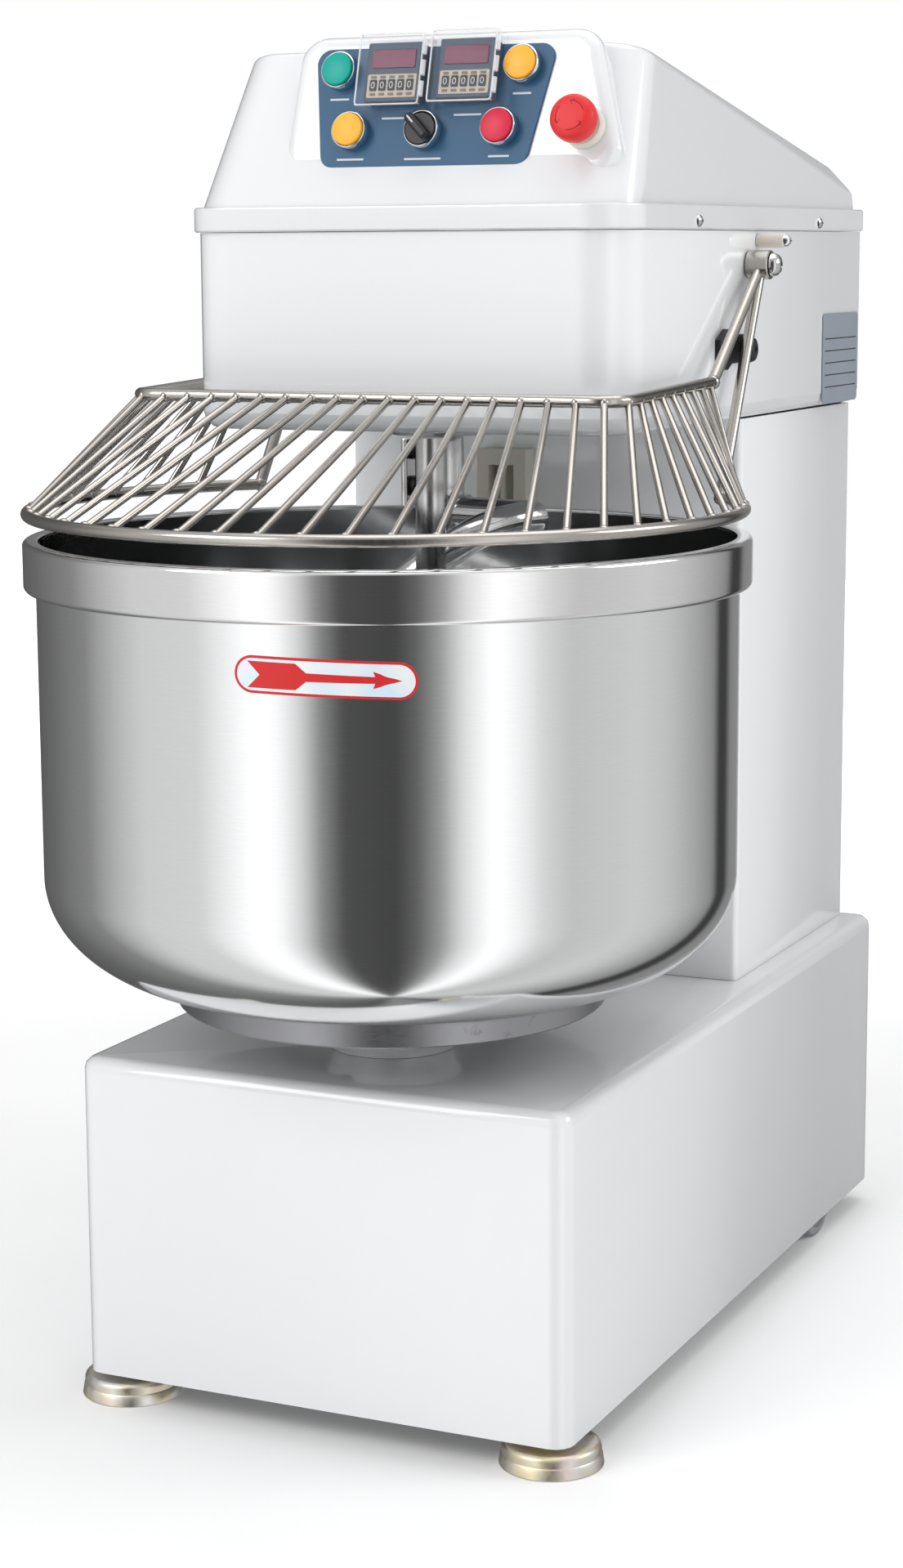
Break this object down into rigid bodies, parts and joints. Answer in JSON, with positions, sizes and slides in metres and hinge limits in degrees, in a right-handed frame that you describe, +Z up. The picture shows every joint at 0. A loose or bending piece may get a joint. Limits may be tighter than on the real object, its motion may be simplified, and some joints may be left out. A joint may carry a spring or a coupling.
{
  "type": "spiral dough mixer",
  "caption": "Commercial spiral dough mixer with a fixed head, turning stainless bowl, spiral hook, breaker bar and a lifting wire guard.",
  "frame": {"origin": "middle of the footprint of the whole machine, on the floor", "axes": "+Z up, +X to the right of a person facing the controls, +Y towards the column and the back"},
  "size_m": [0.581, 0.9294, 1.1052],
  "materials": {
    "white_enamel": "gloss white stoved enamel on sheet steel",
    "moulded_cover": "gloss white moulded cover",
    "stainless": "polished stainless steel with fine brush lines",
    "machined_steel": "plain machined steel",
    "chrome_bezel": "bright chrome",
    "black_plastic": "satin black moulding",
    "motor_paint": "dark grey motor paint",
    "rubber": "matt black rubber",
    "white_nylon": "off-white nylon",
    "slate_label": "slate blue printed panel",
    "grey_label": "blue-grey printed plate",
    "arrow_sticker": "white sticker with a red border and a red arrow",
    "green_cap": "green button cap",
    "yellow_cap": "yellow button cap",
    "red_cap": "red button cap",
    "timer_case": "blue-grey timer case",
    "clear_cover": "clear acrylic",
    "zinc_foot": "yellow passivated zinc plating",
    "grey_wheel": "grey wheel"
  },
  "bodies": {
    "frame": {"base_housing": "white_enamel", "column_housing": "white_enamel", "rear_panel": "white_enamel", "head_housing": "white_enamel", "nameplate": "grey_label", "top_cover": "moulded_cover", "control_panel": "slate_label", "slow_bezel": "chrome_bezel", "high_bezel": "chrome_bezel", "reverse_bezel": "chrome_bezel", "stop_bezel": "chrome_bezel", "selector_bezel": "chrome_bezel", "estop_collar": "white_nylon", "left_timer": "timer_case", "right_timer": "timer_case", "bowl_pedestal": "white_enamel", "bowl_bearing": "machined_steel", "bowl_belt": "rubber", "bowl_motor": "motor_paint", "hook_bearing": "machined_steel", "hook_belt": "rubber", "hook_motor": "motor_paint", "breaker_bar": "stainless", "breaker_bracket": "stainless", "upper_bracket_bolt": "black_plastic", "lower_bracket_bolt": "black_plastic", "roller_block": "white_nylon", "guard_pivot_left": "machined_steel", "guard_pivot_right": "machined_steel", "guard_stop_pin": "white_nylon", "guard_switch": "black_plastic", "cable_gland": "black_plastic", "left_foot": "zinc_foot", "right_foot": "zinc_foot", "wheel_axle": "machined_steel"},
    "bowl": {"bowl_shell": "stainless", "bowl_rim": "stainless", "bowl_base_plate": "machined_steel", "bowl_spindle": "machined_steel", "arrow_label": "arrow_sticker", "bowl_pulley": "machined_steel"},
    "bowl_drive_pulley": {"bowl_motor_pulley": "machined_steel"},
    "rim_roller_wheel": {"rim_roller": "black_plastic"},
    "hook": {"spiral_hook": "stainless", "hook_shaft": "stainless", "hook_pulley": "machined_steel"},
    "hook_drive_pulley": {"hook_motor_pulley": "machined_steel"},
    "guard": {"guard_cage": "stainless"},
    "slow_cap": {"slow_button": "green_cap"},
    "high_cap": {"high_button": "yellow_cap"},
    "reverse_cap": {"reverse_button": "yellow_cap"},
    "stop_cap": {"stop_button": "red_cap"},
    "selector": {"selector_knob": "black_plastic"},
    "estop_slider": {"estop_stem": "black_plastic"},
    "estop_mushroom": {"estop_head": "red_cap"},
    "left_timer_lid": {"left_timer_cover": "clear_cover"},
    "right_timer_lid": {"right_timer_cover": "clear_cover"},
    "left_caster": {"left_wheel": "grey_wheel"},
    "right_caster": {"right_wheel": "grey_wheel"}
  },
  "joints": [
    {"name": "bowl_spin", "type": "hinge", "parent": "frame", "child": "bowl", "pos_m": [0, -0.17225, 0.34], "axis": [0, 0, 1], "continuous": true},
    {"name": "bowl_motor_spin", "type": "hinge", "parent": "frame", "child": "bowl_drive_pulley", "pos_m": [0, 0.29365, 0.098], "axis": [0, 0, 1], "continuous": true},
    {"name": "rim_roller_spin", "type": "hinge", "parent": "frame", "child": "rim_roller_wheel", "pos_m": [-0.031, 0.12645, 0.691], "axis": [0, 0, 1], "continuous": true},
    {"name": "hook_spin", "type": "hinge", "parent": "frame", "child": "hook", "pos_m": [0, -0.06635, 0.76], "axis": [0, 0, 1], "continuous": true},
    {"name": "hook_motor_spin", "type": "hinge", "parent": "frame", "child": "hook_drive_pulley", "pos_m": [0, 0.29365, 0.905], "axis": [0, 0, 1], "continuous": true},
    {"name": "guard_lift", "type": "hinge", "parent": "frame", "child": "guard", "pos_m": [0, 0.12965, 0.9195], "axis": [-1, 0, 0], "range_deg": [0, 120]},
    {"name": "slow_press", "type": "slide", "parent": "frame", "child": "slow_cap", "axis": [0, 0.9659, -0.2588], "range_m": [0, 0.003], "stiffness_N_per_m": 300, "springref_m": -0.001},
    {"name": "high_press", "type": "slide", "parent": "frame", "child": "high_cap", "axis": [0, 0.9659, -0.2588], "range_m": [0, 0.003], "stiffness_N_per_m": 300, "springref_m": -0.001},
    {"name": "reverse_press", "type": "slide", "parent": "frame", "child": "reverse_cap", "axis": [0, 0.9659, -0.2588], "range_m": [0, 0.003], "stiffness_N_per_m": 300, "springref_m": -0.001},
    {"name": "stop_press", "type": "slide", "parent": "frame", "child": "stop_cap", "axis": [0, 0.9659, -0.2588], "range_m": [0, 0.003], "stiffness_N_per_m": 300, "springref_m": -0.001},
    {"name": "selector_turn", "type": "hinge", "parent": "frame", "child": "selector", "pos_m": [0.0145, -0.13463, 1.02733], "axis": [0, 0.9659, -0.2588], "range_deg": [0, 90]},
    {"name": "estop_push", "type": "slide", "parent": "frame", "child": "estop_slider", "axis": [0, 0.9659, -0.2588], "range_m": [0, 0.004]},
    {"name": "estop_twist", "type": "hinge", "parent": "estop_slider", "child": "estop_mushroom", "pos_m": [0.151, -0.14609, 1.03092], "axis": [0, 0.9659, -0.2588], "range_deg": [0, 30], "stiffness_Nm_per_rad": 0.05},
    {"name": "left_timer_lid_swing", "type": "hinge", "parent": "frame", "child": "left_timer_lid", "pos_m": [0.0165, -0.13686, 1.07503], "axis": [0, 0.2588, 0.9659], "range_deg": [0, 90]},
    {"name": "right_timer_lid_swing", "type": "hinge", "parent": "frame", "child": "right_timer_lid", "pos_m": [0.0795, -0.13647, 1.07648], "axis": [0, 0.2588, 0.9659], "range_deg": [0, 90]},
    {"name": "left_wheel_roll", "type": "hinge", "parent": "frame", "child": "left_caster", "pos_m": [-0.19, 0.33365, 0.0375], "axis": [1, 0, 0], "continuous": true},
    {"name": "right_wheel_roll", "type": "hinge", "parent": "frame", "child": "right_caster", "pos_m": [0.19, 0.33365, 0.0375], "axis": [1, 0, 0], "continuous": true}
  ],
  "couplings": [
    {"joint": "bowl_motor_spin", "follows": "bowl_spin", "ratio": 4.1667},
    {"joint": "rim_roller_spin", "follows": "bowl_spin", "ratio": -30.579},
    {"joint": "hook_motor_spin", "follows": "hook_spin", "ratio": 2}
  ]
}
